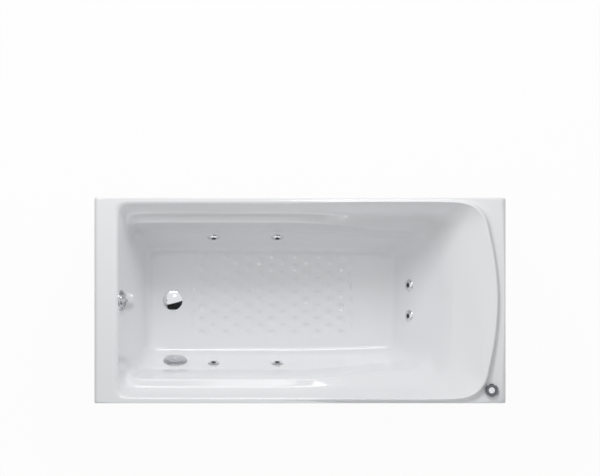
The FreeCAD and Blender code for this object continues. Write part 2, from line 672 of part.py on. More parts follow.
def make_motor(fin_count=16):
    front, back, r = -volute_back - 8, -motor_back, motor_radius
    casing = turned([(16, front), (r, front), (r, back), (13, back), (13, back + 7), (r - 6, back + 7),
                     (r - 6, front - 10), (16, front - 10)])
    fin = block((r - 2, r + 6), (-1.2, 1.2), (back + 20, front - 14))
    angles = [-38 + 256 * k / (fin_count - 1) for k in range(fin_count)]
    fins = [fin.rotated(V(), Z, a) for a in angles]
    foot_low = motor_foot_z - pump_z
    feet = [block((min(s * 22, s * 58), max(s * 22, s * 58)), (foot_low, foot_low + 7), (4, 136))
            for s in (1, -1)]
    ribs = [block((min(s * 24, s * 34), max(s * 24, s * 34)), (foot_low + 5, foot_low + 22), (8, 132))
            for s in (1, -1)]
    casing = fuse([casing] + fins + feet + ribs)
    hollow = rod(r - 6, V(0, 0, back + 7), V(0, 0, front - 10))
    bolts = [rod(3.2, V(s * motor_foot_x, foot_low - 1, -y), V(s * motor_foot_x, foot_low + 8, -y))
             for s in (1, -1) for y in motor_foot_ys]
    return casing.cut([hollow] + bolts)


def make_stator():
    return tube(motor_radius - 6, 33, V(0, 0, 20), V(0, 0, 110))


def make_bearings():
    front, back = -volute_back - 8, -motor_back
    bore = shaft_radius + running_gap
    return [tube(16, bore, V(0, 0, front - 10), V(0, 0, front)),
            tube(13, bore, V(0, 0, back), V(0, 0, back + 7))]


def make_shaft_seal():
    low = -volute_back - 8
    return tube(12, shaft_radius + running_gap, V(0, 0, low), V(0, 0, low + 9))


def make_rotor(blades=6):
    front, fan_back = -volute_back + 34, -cowl_back + 6
    shaft = rod(shaft_radius, V(0, 0, fan_back), V(0, 0, front))
    core = rod(32, V(0, 0, 20), V(0, 0, 110))
    low = -volute_back + 4
    disc = rod(impeller_radius, V(0, 0, low), V(0, 0, low + 3))
    hub = rod(12, V(0, 0, low), V(0, 0, low + 28))
    vane = block((10, impeller_radius - 2), (-1.2, 1.2), (low + 3, low + 24))
    vane.rotate(V(impeller_radius, 0, 0), Z, 18)
    fan_hub = rod(14, V(0, 0, fan_back), V(0, 0, fan_back + 18))
    fan_blade = block((12, motor_radius - 8), (-1, 1), (fan_back + 2, fan_back + 16))
    around = [360 * k / blades for k in range(blades)]
    vanes = [piece.rotated(V(), Z, a) for a in around for piece in (vane, fan_blade)]
    return fuse([shaft, core, disc, hub, fan_hub] + vanes)


def make_fan_cowl(slot_count=8):
    low, high, r = -cowl_back, -motor_back + 12, motor_radius
    cowl = turned([(0, low), (r - 4, low), (r + 2, low + 6), (r + 2, high), (r + 0.1, high),
                   (r + 0.1, low + 7),
                   (r - 5, low + 2), (0, low + 2)])
    slot = block((14, r - 12), (-3, 3), (low - 1, low + 3))
    return cowl.cut([slot.rotated(V(), Z, 360 * k / slot_count) for k in range(slot_count)])


def make_terminal_box():
    """Housing on the motor with the air switch's nipple and a cable gland."""
    low = motor_radius + 0.5
    box = block((-32, 32), (low - 14, low + 34), (26, 116))
    box = box.cut(rod(motor_radius + 6.2, V(0, 0, 20), V(0, 0, 120)))
    lid = block((-34, 34), (low + 30, low + 36), (24, 118))
    gland = rod(9, V(0, low + 18, 10), V(0, low + 18, 27))
    nipple = rod(3, V(14, low + 35, 50), V(14, low + 46, 50))
    return fuse([box, lid, gland, nipple]).cut(rod(1.5, V(14, low + 30, 50), V(14, low + 46, 50)))


def make_pump_unions():
    """Coupling nuts at the pump's outlet and inlet."""
    middle = -outlet_y
    outlet = prism(22, 8, 20, V()).cut(rod(15.5, V(0, 0, -1), V(0, 0, 21)))
    across = frame_from(V(-66, outlet_offset, middle), Y, Z, X)
    face = -pump_inlet_y
    inlet = prism(30, 8, 18, V(0, 0, face - 20)).cut(rod(20, V(0, 0, face - 30), V(0, 0, face + 10)))
    return [put(put(outlet, across), pump_frame), put(inlet, pump_frame)]


def motor_bolt_places():
    return [V(pump_x + s * motor_foot_x, pump_y + y, 0) for s in (1, -1) for y in motor_foot_ys]


def make_mounts():
    low, high = long_rail_top + 3, motor_foot_z
    return [tube(11, 3.2, p + Z * low, p + Z * high) for p in motor_bolt_places()]


def make_pump_plate():
    low = long_rail_top
    plate = block((pump_x - 64, pump_x + 64), (-long_rail_y - 15, long_rail_y + 15), (low, low + 3))
    return plate.cut([rod(3.2, p + Z * low, p + Z * (low + 3)) for p in motor_bolt_places()])


def make_pump_screws():
    top, under = motor_foot_z + 7, long_rail_top - rail_wall
    screws = []
    for place in motor_bolt_places():
        shank = rod(3, place + Z * (under - 6), place + Z * top)
        screws.append(fuse([prism(5.5, 6, 4, place + Z * top), shank,
                            prism(5.5, 6, 4, place + Z * (under - 4))]))
    return screws


# ---------------------------------------------------------------- frame
def square_tube(size, wall, start, end):
    """Square steel tube along X, Y or Z between the middles of its two ends."""
    way = (end - start).normalize()
    length = (end - start).Length
    solid = block((-size / 2, size / 2), (-size / 2, size / 2), (0, length))
    solid = solid.cut(block((wall - size / 2, size / 2 - wall), (wall - size / 2, size / 2 - wall),
                            (0, length)))
    if abs(way.z) < 0.5:
        solid.rotate(V(), Y if abs(way.x) > 0.5 else X, 90 if abs(way.x) > 0.5 else -90)
    solid.translate(start)
    return solid


def make_long_rails():
    z = long_rail_top - rail_size / 2
    start, end = long_rail_x
    rails = [square_tube(rail_size, rail_wall, V(start, s * long_rail_y, z), V(end, s * long_rail_y, z))
             for s in (1, -1)]
    bolts = [rod(3.2, p + Z * z, p + Z * (z + 20)) for p in motor_bolt_places()]
    return [rail.cut(bolts + [rod(2.6, p, p + Z * 20) for p in board_screw_places()]) for rail in rails]


def board_screw_places():
    z = long_rail_top - rail_size / 2
    first, last = board_x[0] + 40, board_x[1] - 35
    return [V(x, s * long_rail_y, z) for x in (first, -150, 60, last) for s in (1, -1)]


def foot_places():
    return [V(x, s * foot_y, 0) for x in cross_rail_x for s in (1, -1)]


def make_cross_rails():
    z = cross_rail_top - rail_size / 2
    half = cross_rail_half
    rails = [square_tube(rail_size, rail_wall, V(x, -half, z), V(x, half, z)) for x in cross_rail_x]
    holes = [rod(foot_rod_radius + running_gap, p + Z * (z - 20), p + Z * (z + 20)) for p in foot_places()]
    return [rail.cut(holes) for rail in rails]


def upright_tops(x):
    """Height at which the upright ends under its timber block."""
    if x < -half_l + foot_deck:
        return rim_height - shell_wall - batten_thickness
    return wall_frame((x, upright_y)).Base.z - 45


def make_uprights():
    feet = [V(x, s * upright_y, cross_rail_top) for x in cross_rail_x for s in (1, -1)]
    return [square_tube(upright_size, rail_wall, p, V(p.x, p.y, upright_tops(p.x))) for p in feet]


def make_timbers(shell):
    """Batten under the foot deck and blocks shaped to the basin on the other uprights."""
    deck_under = rim_height - shell_wall
    start, half = batten_inset - half_l, cross_rail_half + 10
    batten = block((start, start + batten_width), (-half, half), (deck_under - batten_thickness, deck_under))
    blocks = []
    for x in cross_rail_x[1:]:
        for s in (1, -1):
            y, low = s * upright_y, upright_tops(x)
            rough = block((x - 28, x + 28), (y - 14, y + 14), (low, low + 45)).cut(shell)
            blocks.append(min(rough.Solids, key=lambda piece: piece.CenterOfMass.z))
    return [batten] + blocks


def make_board():
    board = block(board_x, (-board_half_width, board_half_width), (board_top - board_thickness, board_top))
    return board.cut([rod(2.4, p, p + Z * 28) for p in board_screw_places()])


def make_bedding(shell):
    """Resin wedge that levels the sloping floor down to the board."""
    wedge = block(board_x, (-board_half_width, board_half_width), (board_top, board_top + 14)).cut(shell)
    return min(wedge.Solids, key=lambda piece: piece.CenterOfMass.z)


def make_frame_screws():
    screws = []
    for place in board_screw_places():
        top = V(place.x, place.y, long_rail_top)
        screws.append(fuse([rod(2.4, top - Z * 4, top + Z * 11), rod(5, top - Z * 5, top - Z * 2)]))
    return screws


def make_foot_nuts():
    bore = foot_rod_radius + running_gap
    nuts = []
    for p in foot_places():
        for z in (cross_rail_top, cross_rail_top - rail_size - frame_nut_height):
            nut = prism(11, 6, frame_nut_height, p + Z * z)
            nuts.append(nut.cut(rod(bore, p + Z * z, p + Z * (z + frame_nut_height))))
    return nuts


def make_foot(place):
    r, top = foot_rod_radius, cross_rail_top + frame_nut_height + rod_spare
    foot = turned([(0, 0), (foot_pad_radius, 0), (foot_pad_radius, 6), (10, 14), (r, 14), (r, top),
                   (0, top)])
    foot.translate(place)
    return foot


def make_back_nuts():
    """Plastic nuts behind the suction fitting, the regulator and the trap."""
    nut_bore = suction_hole_radius
    suction = prism(33, 8, 11, V(0, 0, -shell_wall - 11.5)).cut(rod(nut_bore, V(0, 0, -20), V()))
    regulator = prism(26, 8, 9, V(0, 0, -shell_wall - 9)).cut(rod(regulator_hole_radius, V(0, 0, -20), V()))
    trap = prism(31, 8, 7, V(0, 0, -79.6)).cut(rod(24.3, V(0, 0, -90), V(0, 0, -60)))
    return [put(suction, suction_frame), put(regulator, regulator_frame), put(trap, drain_frame)]


def make_pneumatic_hose():
    start, end = at(regulator_frame, -26.3, 0, -23), at(pump_frame, 14, motor_radius + 46.8, 50)
    return swept([start, start - X * 10, V(start.x - 10, start.y, 400), end + Z * 40, end], 3.0)


# ---------------------------------------------------------------- write one file per piece
def save(name, shape):
    pieces = shape if isinstance(shape, list) else [shape]
    whole = pieces[0] if len(pieces) == 1 else Part.makeCompound(pieces)
    whole.exportStep("parts/%s.step" % name)


def main():
    os.makedirs("parts", exist_ok=True)
    shell = shell_with_holes(make_shell())
    save("tub_shell", shell)
    save("board_bedding", make_bedding(shell))
    save("base_board", make_board())
    save("support_timbers", make_timbers(shell))
    save("long_rails", make_long_rails())
    save("cross_rails", make_cross_rails())
    save("uprights", make_uprights())
    save("frame_screws", make_frame_screws())
    save("foot_nuts", make_foot_nuts())
    for k, place in enumerate(foot_places(), 1):
        save("levelling_foot_%d" % k, make_foot(place))
    save("wall_seals", make_seals(shell))
    save("back_nuts", make_back_nuts())
    jet_places = zip(jet_frames, chambers, water_ports, air_ports)
    save("jet_bodies", [make_jet_body(*place) for place in jet_places])
    save("jet_rings", [put(make_jet_ring(), f) for f in jet_frames])
    for k, frame in enumerate(jet_frames, 1):
        save("jet_nozzle_%d" % k, put(make_nozzle(), frame))
    save("suction_body", put(make_suction_body(), suction_frame))
    save("suction_cover", put(make_suction_cover(), suction_frame))
    save("suction_screw", put(make_suction_screw(), suction_frame))
    save("drain_flange", put(make_drain_flange(), drain_frame))
    save("drain_body", put(make_drain_body(), drain_frame))
    save("drain_plug", put(make_drain_plug(), drain_frame))
    save("trap", put(make_trap(), drain_frame))
    save("overflow_body", overflow_body_with_outlet())
    save("overflow_plate", put(make_overflow_plate(), overflow_frame))
    save("overflow_knob", put(make_overflow_knob(), overflow_frame))
    save("overflow_pipe", make_waste_pipe())
    save("bowden_cable", make_bowden_cable())
    save("regulator_body", put(make_regulator_body(), regulator_frame))
    save("regulator_knob", put(make_regulator_knob(), regulator_frame))
    save("push_button", put(make_push_button(), regulator_frame))
    save("pneumatic_hose", make_pneumatic_hose())
    water_pipes, water_fittings = make_water_line()
    suction_pipes, suction_fittings = make_suction_line()
    save("water_pipes", water_pipes + suction_pipes)
    save("water_fittings", water_fittings + suction_fittings)
    air_pipes, air_fittings = make_air_line()
    save("air_pipes", air_pipes)
    save("air_fittings", air_fittings)
    save("pump_unions", make_pump_unions())
    save("pump_volute", put(make_volute(), pump_frame))
    save("pump_seal_plate", put(make_seal_plate(), pump_frame))
    save("pump_motor", put(make_motor(), pump_frame))
    save("motor_stator", put(make_stator(), pump_frame))
    save("motor_bearings", [put(b, pump_frame) for b in make_bearings()])
    save("shaft_seal", put(make_shaft_seal(), pump_frame))
    save("pump_rotor", put(make_rotor(), pump_frame))
    save("fan_cowl", put(make_fan_cowl(), pump_frame))
    save("terminal_box", put(make_terminal_box(), pump_frame))
    save("rubber_mounts", make_mounts())
    save("pump_plate", make_pump_plate())
    save("pump_screws", make_pump_screws())


main()
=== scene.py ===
import bpy
import bmesh
import json
import math
import numpy as np
from mathutils import Matrix, Vector

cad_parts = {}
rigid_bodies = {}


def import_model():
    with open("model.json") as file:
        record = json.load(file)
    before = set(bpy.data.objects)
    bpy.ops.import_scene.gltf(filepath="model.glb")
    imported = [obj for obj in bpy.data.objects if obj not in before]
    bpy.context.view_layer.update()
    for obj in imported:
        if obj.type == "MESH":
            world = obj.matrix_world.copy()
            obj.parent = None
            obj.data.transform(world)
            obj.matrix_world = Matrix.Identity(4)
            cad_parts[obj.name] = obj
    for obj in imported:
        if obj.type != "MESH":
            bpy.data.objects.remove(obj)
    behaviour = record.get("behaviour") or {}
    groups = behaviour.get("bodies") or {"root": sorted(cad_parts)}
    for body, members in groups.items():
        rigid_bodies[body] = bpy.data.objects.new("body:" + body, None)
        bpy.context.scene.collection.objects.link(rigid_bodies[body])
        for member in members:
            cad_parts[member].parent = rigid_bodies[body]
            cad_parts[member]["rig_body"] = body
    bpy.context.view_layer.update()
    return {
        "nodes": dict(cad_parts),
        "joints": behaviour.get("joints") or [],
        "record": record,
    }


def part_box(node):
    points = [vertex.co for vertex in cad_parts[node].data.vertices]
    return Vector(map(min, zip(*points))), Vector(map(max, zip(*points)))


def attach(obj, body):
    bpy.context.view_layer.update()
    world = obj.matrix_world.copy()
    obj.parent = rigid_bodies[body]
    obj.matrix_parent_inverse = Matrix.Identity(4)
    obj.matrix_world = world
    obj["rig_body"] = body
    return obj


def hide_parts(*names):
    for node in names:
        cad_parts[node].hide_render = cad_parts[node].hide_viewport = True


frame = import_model()
nodes = frame["nodes"]
scene = bpy.context.scene
print("bath: CAD frame loaded")


mergeDistance = 1e-6        # metres; points closer than this are one


def boxMiddle(node):
    low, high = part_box(node)
    return (Vector(low) + Vector(high)) / 2


def smoothStep(value, start, end):
    t = max(0.0, min(1.0, (value - start) / (end - start)))
    return t * t * (3.0 - 2.0 * t)


def mix(a, b, t):
    return a + (b - a) * t


def addObject(name, mesh):
    piece = bpy.data.objects.new(name, mesh)
    scene.collection.objects.link(piece)
    return piece


def plainMesh(piece):
    # the evaluated result becomes the piece's own mesh, and its modifiers go
    graph = bpy.context.evaluated_depsgraph_get()
    mesh = bpy.data.meshes.new_from_object(piece.evaluated_get(graph))
    piece.modifiers.clear()
    old = piece.data
    piece.data = mesh
    bpy.data.meshes.remove(old)


def closeMesh(mesh):
    # doubled points at seams and poles become one, and every face points outwards
    work = bmesh.new()
    work.from_mesh(mesh)
    bmesh.ops.remove_doubles(work, verts=work.verts, dist=mergeDistance)
    bmesh.ops.recalc_face_normals(work, faces=work.faces)
    work.to_mesh(mesh)
    work.free()


def smoothFaces(mesh):
    for face in mesh.polygons:
        face.use_smooth = True


def axisFrame(position, axis):
    # place whose Z runs along the axis
    turn = Vector(axis).normalized().to_track_quat("Z", "Y").to_matrix().to_4x4()
    return Matrix.Translation(position) @ turn


def newTree(name, kind, inputs, outputs):
    # node tree with named sockets, given back with its first and last node
    tree = bpy.data.node_groups.new(name, kind)
    for label, socketType, value in inputs:
        socket = tree.interface.new_socket(label, in_out="INPUT", socket_type=socketType)
        if value is not None:
            socket.default_value = value
    for label, socketType in outputs:
        tree.interface.new_socket(label, in_out="OUTPUT", socket_type=socketType)
    return tree, tree.nodes.new("NodeGroupInput"), tree.nodes.new("NodeGroupOutput")


def mathNode(tree, operation, a, b=None, kind="ShaderNodeMath"):
    # a and b are numbers or sockets
    node = tree.nodes.new(kind)
    node.operation = operation
    for socket, value in zip(node.inputs, (a, b)):
        if isinstance(value, (int, float)):
            socket.default_value = value
        elif value is not None:
            tree.links.new(value, socket)
    return node.outputs[0]


def rangeNode(tree, value, fromMin, fromMax, toMin, toMax, interpolation="LINEAR"):
    node = tree.nodes.new("ShaderNodeMapRange")
    node.interpolation_type = interpolation
    tree.links.new(value, node.inputs["Value"])
    for label, number in (("From Min", fromMin), ("From Max", fromMax), ("To Min", toMin), ("To Max", toMax)):
        if isinstance(number, (int, float)):
            node.inputs[label].default_value = number
        else:
            tree.links.new(number, node.inputs[label])
    return node.outputs["Result"]


# patterns shared by the finishes
noiseSpan = (0.3, 0.7)      # nearly all of the noise lies between these
patternDetail = {"handling": 4.0, "grain": 6.0, "moulded": 3.0}


def noiseNode(tree, vector, scale, detail):
    noise = tree.nodes.new("ShaderNodeTexNoise")
    noise.inputs["Detail"].default_value = detail
    tree.links.new(vector, noise.inputs["Vector"])
    tree.links.new(scale, noise.inputs["Scale"])
    return noise.outputs["Fac"]


def buildHandling():
    # soft cloudy change in gloss, as wiping and water leave it
    group, start, end = newTree(
        "handlingMarks", "ShaderNodeTree",
        [("Scale", "NodeSocketFloat", 6.0), ("Roughness", "NodeSocketFloat", 0.2),
         ("Amount", "NodeSocketFloat", 0.05)],
        [("Roughness", "NodeSocketFloat")])
    place = group.nodes.new("ShaderNodeTexCoord").outputs["Object"]
    cloud = noiseNode(group, place, start.outputs["Scale"], patternDetail["handling"])
    low = mathNode(group, "SUBTRACT", start.outputs["Roughness"], start.outputs["Amount"])
    high = mathNode(group, "ADD", start.outputs["Roughness"], start.outputs["Amount"])
    group.links.new(rangeNode(group, cloud, *noiseSpan, low, high), end.inputs["Roughness"])
    return group


def buildGrain():
    # fine lines along one direction, for timber, brushed steel and turned parts
    group, start, end = newTree(
        "lineGrain", "ShaderNodeTree",
        [("Stretch", "NodeSocketVector", (1.0, 1.0, 1.0)), ("Scale", "NodeSocketFloat", 40.0),
         ("Dark", "NodeSocketColor", (0.3, 0.2, 0.1, 1)), ("Light", "NodeSocketColor", (0.6, 0.45, 0.3, 1))],
        [("Color", "NodeSocketColor"), ("Height", "NodeSocketFloat")])
    place = group.nodes.new("ShaderNodeTexCoord").outputs["Object"]
    stretched = mathNode(group, "MULTIPLY", place, start.outputs["Stretch"], "ShaderNodeVectorMath")
    lines = noiseNode(group, stretched, start.outputs["Scale"], patternDetail["grain"])
    blend = group.nodes.new("ShaderNodeMix")
    blend.data_type = "RGBA"
    group.links.new(rangeNode(group, lines, *noiseSpan, 0.0, 1.0), blend.inputs["Factor"])
    group.links.new(start.outputs["Dark"], blend.inputs["A"])
    group.links.new(start.outputs["Light"], blend.inputs["B"])
    group.links.new(blend.outputs["Result"], end.inputs["Color"])
    group.links.new(lines, end.inputs["Height"])
    return group


def buildMoulded():
    # faint grain of a moulded or cast surface
    group, start, end = newTree(
        "mouldedGrain", "ShaderNodeTree",
        [("Scale", "NodeSocketFloat", 900.0), ("Color", "NodeSocketColor", (0.5, 0.5, 0.5, 1)),
         ("Spread", "NodeSocketFloat", 0.1)],
        [("Color", "NodeSocketColor"), ("Height", "NodeSocketFloat")])
    place = group.nodes.new("ShaderNodeTexCoord").outputs["Object"]
    grain = noiseNode(group, place, start.outputs["Scale"], patternDetail["moulded"])
    tone = group.nodes.new("ShaderNodeHueSaturation")
    low = mathNode(group, "SUBTRACT", 1.0, start.outputs["Spread"])
    high = mathNode(group, "ADD", 1.0, start.outputs["Spread"])
    group.links.new(rangeNode(group, grain, *noiseSpan, low, high), tone.inputs["Value"])
    group.links.new(start.outputs["Color"], tone.inputs["Color"])
    group.links.new(tone.outputs["Color"], end.inputs["Color"])
    group.links.new(grain, end.inputs["Height"])
    return group


groups = {"handling": buildHandling(), "grain": buildGrain(), "moulded": buildMoulded()}


def placeGroup(tree, name, **values):
    node = tree.nodes.new("ShaderNodeGroup")
    node.node_tree = groups[name]
    for label, value in values.items():
        node.inputs[label].default_value = value
    return node


# finishes; the bumps' depths are in metres
bumpDepth = {"moulded": 0.0004, "grain": 0.0005}


def newMaterial(name, color, roughness, metallic=0.0):
    material = bpy.data.materials.new(name)
    material.use_nodes = True
    shader = material.node_tree.nodes["Principled BSDF"]
    shader.inputs["Base Color"].default_value = (*color, 1)
    shader.inputs["Roughness"].default_value = roughness
    shader.inputs["Metallic"].default_value = metallic
    return material, material.node_tree, shader


def bumpInto(tree, shader, height, strength, distance):
    bump = tree.nodes.new("ShaderNodeBump")
    bump.inputs["Strength"].default_value = strength
    bump.inputs["Distance"].default_value = distance
    tree.links.new(height, bump.inputs["Height"])
    tree.links.new(bump.outputs["Normal"], shader.inputs["Normal"])


def polished(name, color, roughness, metallic=0.0, scale=8.0, amount=0.02):
    material, tree, shader = newMaterial(name, color, roughness, metallic)
    marks = placeGroup(tree, "handling", Scale=scale, Roughness=roughness, Amount=amount)
    tree.links.new(marks.outputs["Roughness"], shader.inputs["Roughness"])
    return material


def moulded(name, color, roughness, scale, spread, strength, metallic=0.0):
    material, tree, shader = newMaterial(name, color, roughness, metallic)
    grain = placeGroup(tree, "moulded", Scale=scale, Color=(*color, 1), Spread=spread)
    tree.links.new(grain.outputs["Color"], shader.inputs["Base Color"])
    bumpInto(tree, shader, grain.outputs["Height"], strength, bumpDepth["moulded"])
    return material


def grained(name, dark, light, roughness, stretch, scale, metallic=0.0, strength=0.2):
    material, tree, shader = newMaterial(name, light, roughness, metallic)
    grain = placeGroup(tree, "grain", Stretch=stretch, Scale=scale, Dark=(*dark, 1), Light=(*light, 1))
    tree.links.new(grain.outputs["Color"], shader.inputs["Base Color"])
    bumpInto(tree, shader, grain.outputs["Height"], strength, bumpDepth["grain"])
    return material


finishes = {
    "acrylic": polished("whiteAcrylic", (0.83, 0.84, 0.855), 0.11, scale=5.0),
    "glassFibre": grained("glassFibreBacking", (0.52, 0.50, 0.42), (0.68, 0.66, 0.58), 0.55,
                          stretch=(1.0, 1.0, 1.0), scale=60.0, strength=0.8),
    "resin": moulded("castResin", (0.62, 0.60, 0.50), 0.6, scale=250.0, spread=0.12, strength=0.6),
    "plywood": grained("birchPlywood", (0.42, 0.29, 0.16), (0.66, 0.50, 0.32), 0.6,
                       stretch=(0.25, 5.0, 5.0), scale=22.0),
    "frame_steel": moulded("powderCoat", (0.24, 0.26, 0.28), 0.45, scale=1400.0, spread=0.06, strength=0.35),
    "zinc_steel": grained("zincPlate", (0.46, 0.46, 0.43), (0.66, 0.66, 0.62), 0.34,
                          stretch=(1.0, 1.0, 6.0), scale=120.0, metallic=1.0, strength=0.1),
    "rubber_black": moulded("blackRubber", (0.035, 0.035, 0.036), 0.7, scale=700.0, spread=0.15, strength=0.3),
    "pvc_white": moulded("whitePipe", (0.74, 0.74, 0.72), 0.33, scale=300.0, spread=0.03, strength=0.08),
    "waste_plastic": moulded("wasteFitting", (0.66, 0.66, 0.65), 0.42, scale=500.0, spread=0.05, strength=0.2),
    "nut_plastic": moulded("darkNut", (0.09, 0.10, 0.11), 0.5, scale=900.0, spread=0.1, strength=0.3),
    "chrome_plate": polished("chromePlate", (0.74, 0.75, 0.77), 0.07, metallic=1.0),
    "dark_chrome": polished("smokedChrome", (0.17, 0.18, 0.20), 0.18, metallic=1.0),
    "nozzle_plastic": polished("nozzlePlastic", (0.06, 0.06, 0.065), 0.28),
    "pump_plastic": moulded("pumpCasing", (0.045, 0.046, 0.05), 0.5, scale=1000.0, spread=0.15, strength=0.35),
    "motor_aluminium": moulded("castAluminium", (0.52, 0.53, 0.55), 0.42, scale=800.0, spread=0.08, strength=0.5,
                               metallic=1.0),
    "stator_iron": grained("laminatedIron", (0.16, 0.09, 0.05), (0.32, 0.2, 0.11), 0.5,
                           stretch=(1.0, 9.0, 1.0), scale=160.0, metallic=0.6),
    "rotor_steel": grained("turnedSteel", (0.44, 0.44, 0.46), (0.62, 0.62, 0.64), 0.3,
                           stretch=(1.0, 8.0, 1.0), scale=140.0, metallic=1.0, strength=0.1),
    "cable_black": moulded("cableSheath", (0.03, 0.03, 0.033), 0.45, scale=600.0, spread=0.1, strength=0.2),
    "hose_vinyl": polished("clearHose", (0.62, 0.66, 0.68), 0.25),
}
satinChrome = polished("satinChrome", (0.52, 0.53, 0.55), 0.24, metallic=1.0)
satinNodes = ("suction_cover", "overflow_plate", "overflow_knob")
for part in frame["record"]["subparts"]:
    node = nodes[part["node"]]
    node.data.materials.clear()
    node.data.materials.append(satinChrome if part["node"] in satinNodes else finishes[part["material_slot"]])
print("bath: finishes placed on", len(nodes), "CAD nodes")


# the moulded tub, smooth where the CAD shell is in strips; metres from the middle of the bath,
# and each corner of a wall is (distance, height above the deck, reach of its bend)
tub = {
    "halfLength": 0.75, "halfWidth": 0.375, "deckHeight": 0.57, "depth": 0.402, "fall": 0.008, "wall": 0.005,
    "skirt": 0.035, "edgeRadius": 0.006,
    "foot": [(0.694, 0, 0), (0.668, 0, 0.018), (0.644, -0.088, 0.018), (0.629, -0.141, 0.018),
             (0.607, -0.218, 0.018), (0.556, -0.402, 0.034), (0.515, -0.402, 0)],
    "side": [(0.366, 0, 0), (0.355, 0, 0.009), (0.322, -0.072, 0.014), (0.285, -0.080, 0.009),
             (0.251, -0.268, 0.014), (0.188, -0.402, 0.022), (0.160, -0.402, 0)],
    "shoulder": [(0.368, 0, 0), (0.361, 0.020, 0.008), (0.318, -0.092, 0.030), (0.254, -0.172, 0.016),
                 (0.224, -0.284, 0.014), (0.180, -0.402, 0.022), (0.152, -0.402, 0)],
    "head": [(0.731, 0, 0), (0.724, 0.020, 0.008), (0.541, -0.128, 0.040), (0.478, -0.214, 0.018),
             (0.410, -0.306, 0.018), (0.339, -0.402, 0.034), (0.300, -0.402, 0)],
    "footRadius": 0.042, "headRadiusFloor": 0.042, "headRadiusRim": 0.118, "headBow": 0.034,
    "lipSpan": (0.0, 0.220), "turnSpan": (0.010, 0.365),
    "sideColumns": 8, "cornerColumns": 4, "endColumns": 2,
    "bendRows": 10, "wallRows": 5, "columnSteps": 9, "floorRings": 30, "deckRows": 4,
    "spine": (-0.36, 0.15),                     # the floor's rings close on this stretch of its middle line
    "seenSlope": 0.002, "skirtShare": 0.9955,   # faces turned up, or as far out as the skirt, show acrylic
}


def sectionRows(section):
    # rows down one wall, each bend a parabola and each wall straight
    corners = [np.array((d, h)) for d, h, reach in section]
    rows, lastPoint = [corners[0]], corners[0]

    def towards(corner, other, reach):
        return corner + (other - corner) / np.linalg.norm(other - corner) * reach

    for i in range(1, len(section) - 1):
        reach = section[i][2]
        start = towards(corners[i], corners[i - 1], reach)
        end = towards(corners[i], corners[i + 1], reach)
        rows += [mix(lastPoint, start, k / tub["wallRows"]) for k in range(1, tub["wallRows"])]
        for k in range(tub["bendRows"] + 1):
            t = k / tub["bendRows"]
            rows.append(start * (1 - t) ** 2 + corners[i] * 2 * t * (1 - t) + end * t * t)
        lastPoint = end
    return rows + [mix(lastPoint, corners[-1], k / tub["wallRows"]) for k in range(1, tub["wallRows"] + 1)]


def cornerPoints(radius, centreX, isHead, y, zStart, zEnd):
    count = tub["cornerColumns"]
    step = math.radians(90.0 / (count - 1))
    growth = 3.0 / (2.0 + math.cos(step))       # keeps a cubic curve on its circle
    points = []
    for k in range(count):
        r = radius * (growth if 0 < k < count - 1 else 1.0)
        a = step * k + (0.0 if isHead else math.pi / 2)
        points.append((centreX + r * math.cos(a), y - radius + r * math.sin(a),
                       mix(zStart, zEnd, smoothStep(k, 0, count - 1))))
    return points


def ringOf(foot, side, shoulder, head, isLip):
    # control points of one closed line round the basin, from the head's middle by the +Y side
    span = tub["lipSpan"] if isLip else tub["turnSpan"]

    def sideAt(x):
        return mix(side, shoulder, smoothStep(x, *span))

    up = min(1.0, max(0.0, 1.0 + head[1] / tub["depth"]))
    headRadius = mix(tub["headRadiusFloor"], tub["headRadiusRim"], up)
    bow = tub["headBow"] * up ** 2
    turnX, startX = head[0] - bow - headRadius, tub["footRadius"] - foot[0]
    (headY, turnZ), (footY, startZ) = sideAt(turnX), sideAt(startX)
    ends, columns = tub["endColumns"], tub["sideColumns"]
    points = []
    for k in range(ends):
        t = (k + 0.5) / ends
        points.append((head[0] - bow * t * t, (headY - headRadius) * t, head[1]))
    points += cornerPoints(headRadius, turnX, True, headY, head[1], turnZ)
    for k in range(1, columns + 1):
        x = mix(turnX, startX, k / (columns + 1))
        points.append((x, *sideAt(x)))
    points += cornerPoints(tub["footRadius"], startX, False, footY, startZ, foot[1])
    for k in range(ends):
        points.append((-foot[0], (footY - tub["footRadius"]) * (1 - (k + 0.5) / ends), foot[1]))
    half = np.array(points)
    headFloor, footFloor = tub["head"][-1][0], tub["foot"][-1][0]
    low = np.clip(-half[:, 2] / tub["depth"], 0, 1) ** 4
    half[:, 2] += tub["deckHeight"] - tub["fall"] * (headFloor - half[:, 0]) / (headFloor + footFloor) * low
    return np.vstack([half, half[::-1] * (1, -1, 1)])


def curveMatrix(columns):
    # periodic cubic weights that turn a ring of control points into a smooth line
    steps = tub["columnSteps"]
    matrix = np.zeros((columns * steps, columns))
    for i in range(columns * steps):
        k, t = divmod(i / steps, 1.0)
        weights = ((1 - t) ** 3 / 6, (3 * t ** 3 - 6 * t * t + 4) / 6,
                   (-3 * t ** 3 + 3 * t * t + 3 * t + 1) / 6, t ** 3 / 6)
        for r, weight in enumerate(weights):
            matrix[i, (int(k) + r) % columns] += weight
    return matrix


def basinGrid():
    walls = [sectionRows(tub[name]) for name in ("foot", "side", "shoulder", "head")]
    lipRows = tub["wallRows"] + tub["bendRows"] + 1
    net = np.array([ringOf(*rows, isLip=i < lipRows) for i, rows in enumerate(zip(*walls))])
    return np.einsum("ju,iuc->ijc", curveMatrix(net.shape[1]), net)


def floorRings(edge):
    # rings from the floor's edge in to its spine, so that the cells stay even
    spine = edge.copy()
    spine[:, 0] = np.clip(edge[:, 0], *tub["spine"])
    spine[:, 1] = 0.0
    slope = tub["fall"] / (tub["head"][-1][0] + tub["foot"][-1][0])
    middle = edge[:, 2].mean() - slope * edge[:, 0].mean()
    spine[:, 2] = middle + slope * spine[:, 0]
    return np.array([mix(edge, spine, k / tub["floorRings"]) for k in range(1, tub["floorRings"] + 1)])


